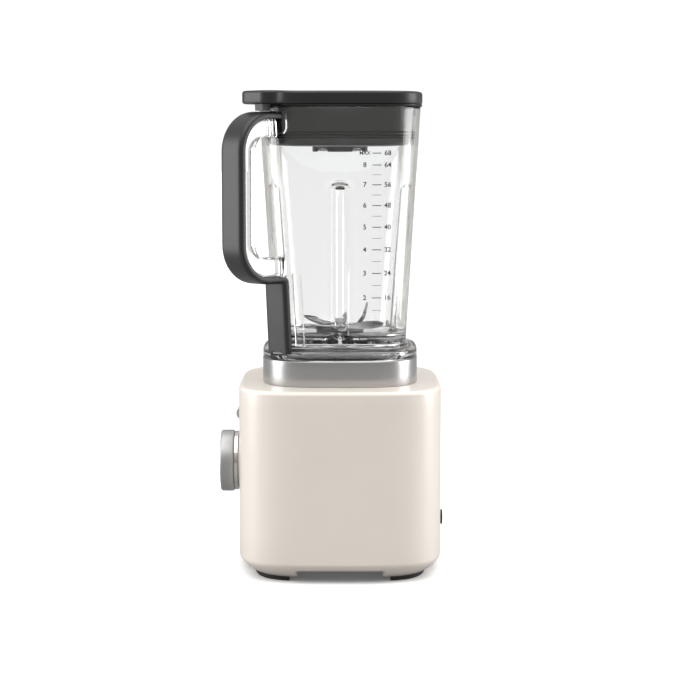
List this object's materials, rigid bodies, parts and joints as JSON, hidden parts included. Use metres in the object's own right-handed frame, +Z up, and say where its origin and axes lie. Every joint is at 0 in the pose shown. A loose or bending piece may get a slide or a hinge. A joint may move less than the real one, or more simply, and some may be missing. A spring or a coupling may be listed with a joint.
{
  "type": "countertop blender",
  "caption": "Countertop blender: rounded square base with dial and toggle, fluted square clear jar with corner handle, blade set, and lid with measuring cap.",
  "frame": {"origin": "where the motor axis meets the table that the base stands on", "axes": "+Z up along the motor axis, the dial on the front faces -X, the handle stands over the corner towards -X and -Y, and the cord gland is at the rear, towards +X"},
  "size_m": [0.1983, 0.1974, 0.417],
  "materials": {
    "housing_paint": "satin cream paint",
    "satin_metal": "satin",
    "bright_metal": "polished",
    "blade_steel": "ground and polished",
    "clear_jar": "clear copolyester",
    "black_plastic": "fine matte",
    "grey_plastic": "moulded",
    "black_rubber": "moulded",
    "seal_rubber": "smooth silicone",
    "dark_steel": "varnished laminations",
    "cast_aluminium": "die cast",
    "copper": "enamelled winding",
    "brass_part": "stamped",
    "board_green": "solder mask"
  },
  "bodies": {
    "base": {"base_housing": "housing_paint", "base_plate": "grey_plastic", "foot_pad_1": "black_rubber", "foot_pad_2": "black_rubber", "foot_pad_3": "black_rubber", "foot_pad_4": "black_rubber", "base_screws": "bright_metal", "pedestal_ring": "satin_metal", "pedestal_frame": "black_plastic", "jar_pad": "black_rubber", "motor_stator": "dark_steel", "field_coil_1": "copper", "field_coil_2": "copper", "upper_bracket": "cast_aluminium", "lower_bracket": "cast_aluminium", "motor_bolts": "bright_metal", "motor_mounts": "black_rubber", "upper_bearing": "bright_metal", "lower_bearing": "bright_metal", "brush_holder_1": "grey_plastic", "brush_holder_2": "grey_plastic", "carbon_brush_1": "dark_steel", "carbon_brush_2": "dark_steel", "brush_springs": "brass_part", "control_board": "board_green", "board_capacitors": "black_plastic", "dial_encoder": "grey_plastic", "toggle_bracket": "grey_plastic", "toggle_pin": "bright_metal", "toggle_switch": "black_plastic", "cord_gland": "black_rubber"},
    "rotor": {"rotor_shaft": "bright_metal", "rotor_core": "dark_steel", "commutator": "copper", "cooling_fan": "grey_plastic", "drive_coupling": "black_rubber", "slinger": "black_rubber"},
    "dial": {"dial_knob": "satin_metal", "dial_skirt": "bright_metal", "dial_face": "satin_metal", "dial_spindle": "bright_metal"},
    "toggle": {"toggle_lever": "bright_metal"},
    "jar": {"jar_body": "clear_jar", "handle_grip": "black_plastic", "blade_carrier": "black_plastic", "carrier_nut": "black_plastic", "carrier_gasket": "seal_rubber", "carrier_bearing": "bright_metal", "shaft_seal": "seal_rubber"},
    "blades": {"blade_shaft": "bright_metal", "upper_blades": "blade_steel", "lower_blades": "blade_steel", "blade_nut": "bright_metal", "driven_coupling": "grey_plastic"},
    "lid": {"lid_cover": "black_plastic", "lid_insert": "black_plastic", "lid_gasket": "seal_rubber"},
    "cap": {"centre_cap": "clear_jar"}
  },
  "joints": [
    {"name": "motor_spin", "type": "hinge", "parent": "base", "child": "rotor", "pos_m": [0, 0, 0.1], "axis": [0, 0, 1], "continuous": true},
    {"name": "dial_turn", "type": "hinge", "parent": "base", "child": "dial", "pos_m": [-0.095, 0, 0.0905], "axis": [1, 0, 0], "range_deg": [0, 300]},
    {"name": "toggle_flip", "type": "hinge", "parent": "base", "child": "toggle", "pos_m": [-0.08, -0.0125, 0.138], "axis": [0, 1, 0], "range_deg": [-8, 8], "stiffness_Nm_per_rad": 0.05},
    {"name": "jar_lift", "type": "slide", "parent": "base", "child": "jar", "axis": [0, 0, 1], "range_m": [0, 0.05]},
    {"name": "blade_spin", "type": "hinge", "parent": "jar", "child": "blades", "pos_m": [0, 0, 0.21], "axis": [0, 0, 1], "continuous": true},
    {"name": "lid_lift", "type": "slide", "parent": "jar", "child": "lid", "axis": [0, 0, 1], "range_m": [0, 0.06]},
    {"name": "cap_lift", "type": "slide", "parent": "lid", "child": "cap", "axis": [0, 0, 1], "range_m": [0, 0.07]}
  ],
  "couplings": [
    {"joint": "blade_spin", "follows": "motor_spin", "ratio": 1}
  ]
}
